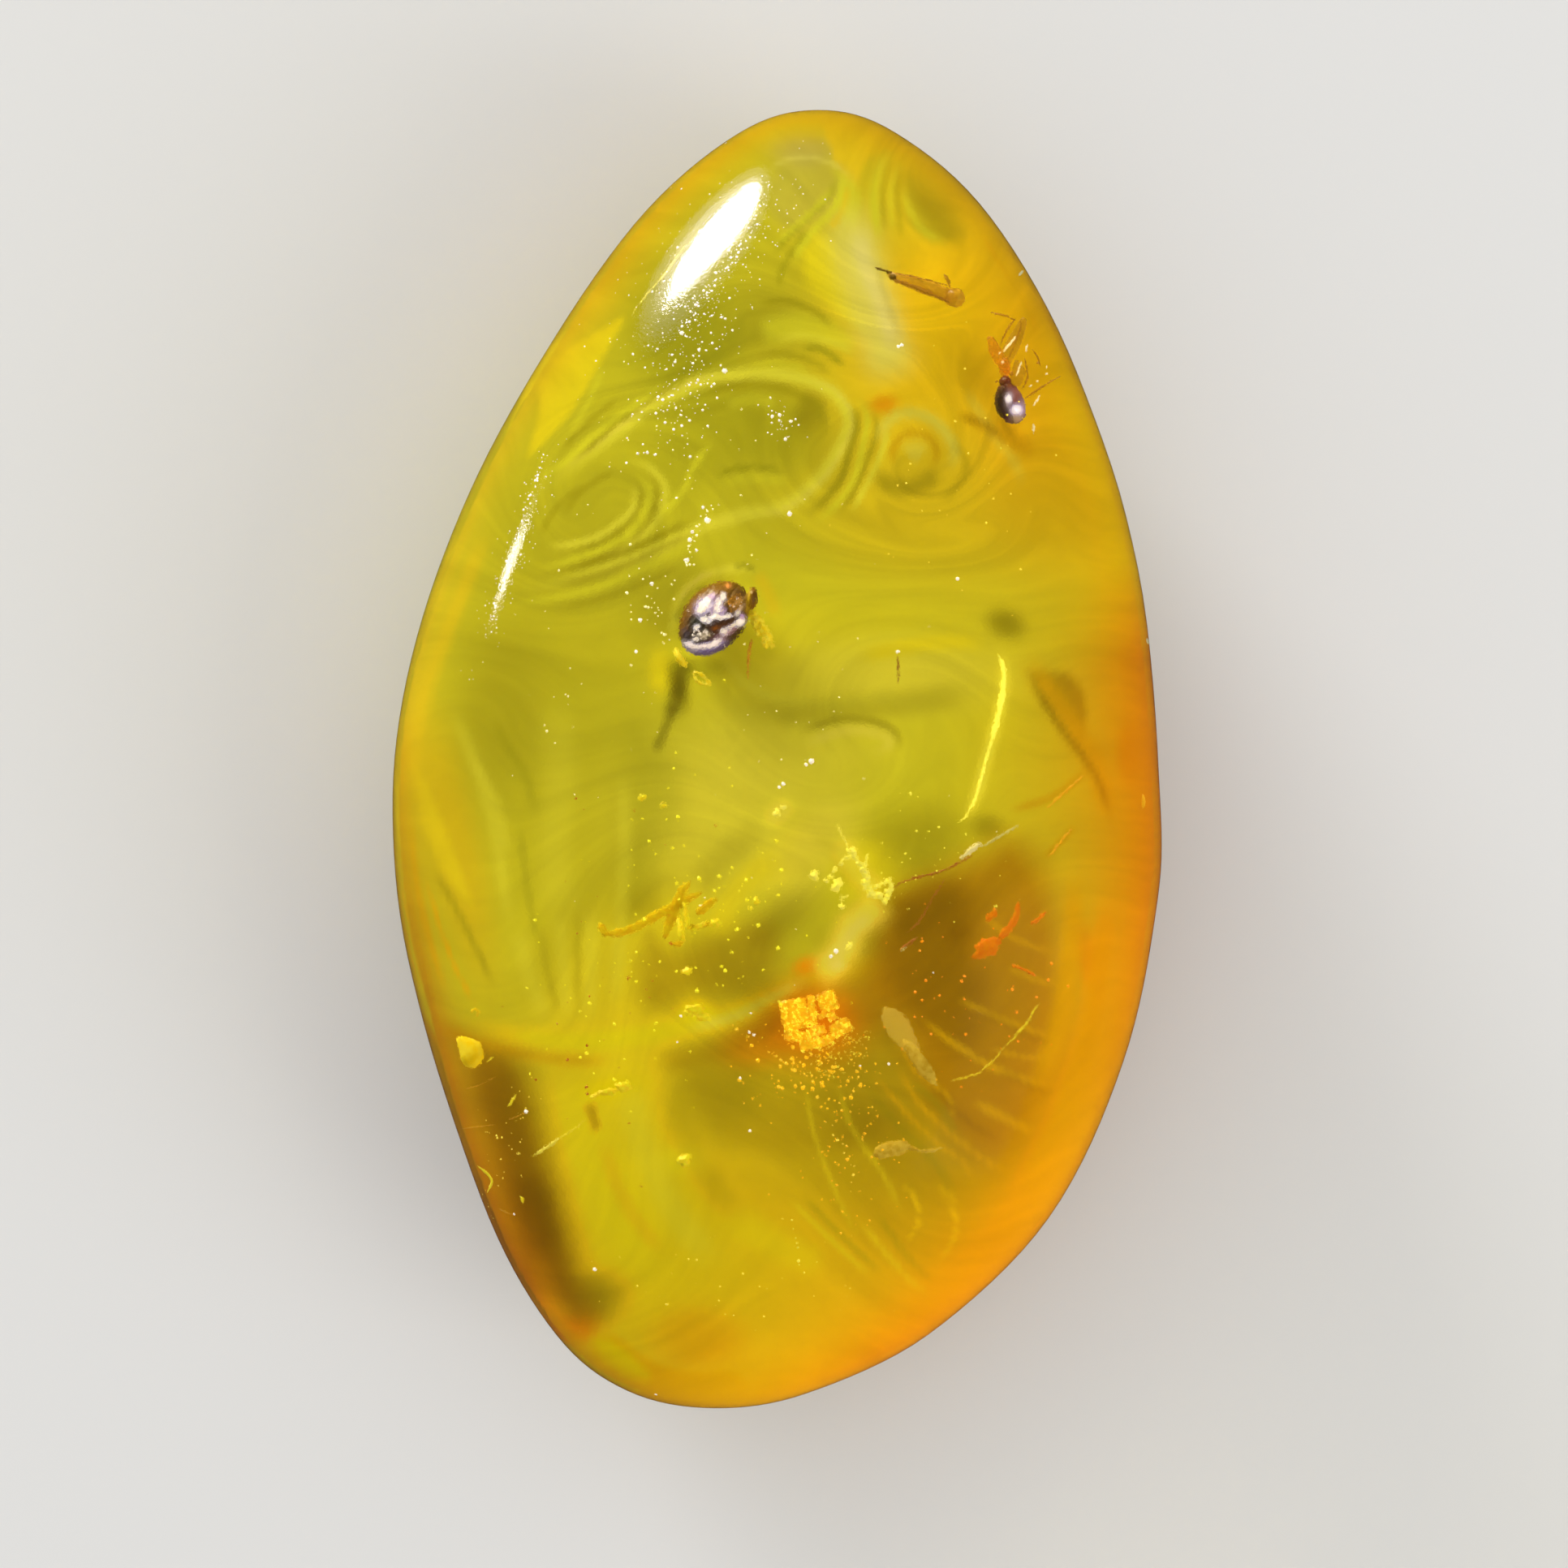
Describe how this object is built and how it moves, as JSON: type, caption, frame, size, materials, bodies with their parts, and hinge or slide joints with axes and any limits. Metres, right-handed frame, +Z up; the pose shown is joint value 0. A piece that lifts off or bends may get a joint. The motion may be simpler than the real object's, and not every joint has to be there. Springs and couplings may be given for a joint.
{
  "type": "polished amber nugget with insect inclusions",
  "caption": "Egg-shaped polished amber nugget, see-through yellow to orange, with small insects and debris sealed inside.",
  "frame": {"origin": "on the surface that the nugget lies on, below the middle of its box", "axes": "+Y along the length, towards the narrow end; +Z up, through the thickness, from the resting face to the crest; +X to the right seen from above"},
  "size_m": [0.0178, 0.03, 0.0108],
  "materials": {
    "amber": "gloss",
    "dark_chitin": "gloss",
    "brown_chitin": "satin",
    "resin_grain": "satin",
    "bark": "matte",
    "plant_debris": "satin",
    "pale_splinter": "matte",
    "crackled_resin": "gloss"
  },
  "bodies": {
    "root": {"amber_upper": "amber", "amber_lower": "amber", "round_beetle": "dark_chitin", "small_beetle": "dark_chitin", "slender_insect": "brown_chitin", "resin_drop": "resin_grain", "bark_flake": "bark", "debris_clump": "plant_debris", "leg_remains": "plant_debris", "splinter_long": "pale_splinter", "splinter_short": "pale_splinter", "crackled_crust": "crackled_resin"}
  },
  "joints": []
}
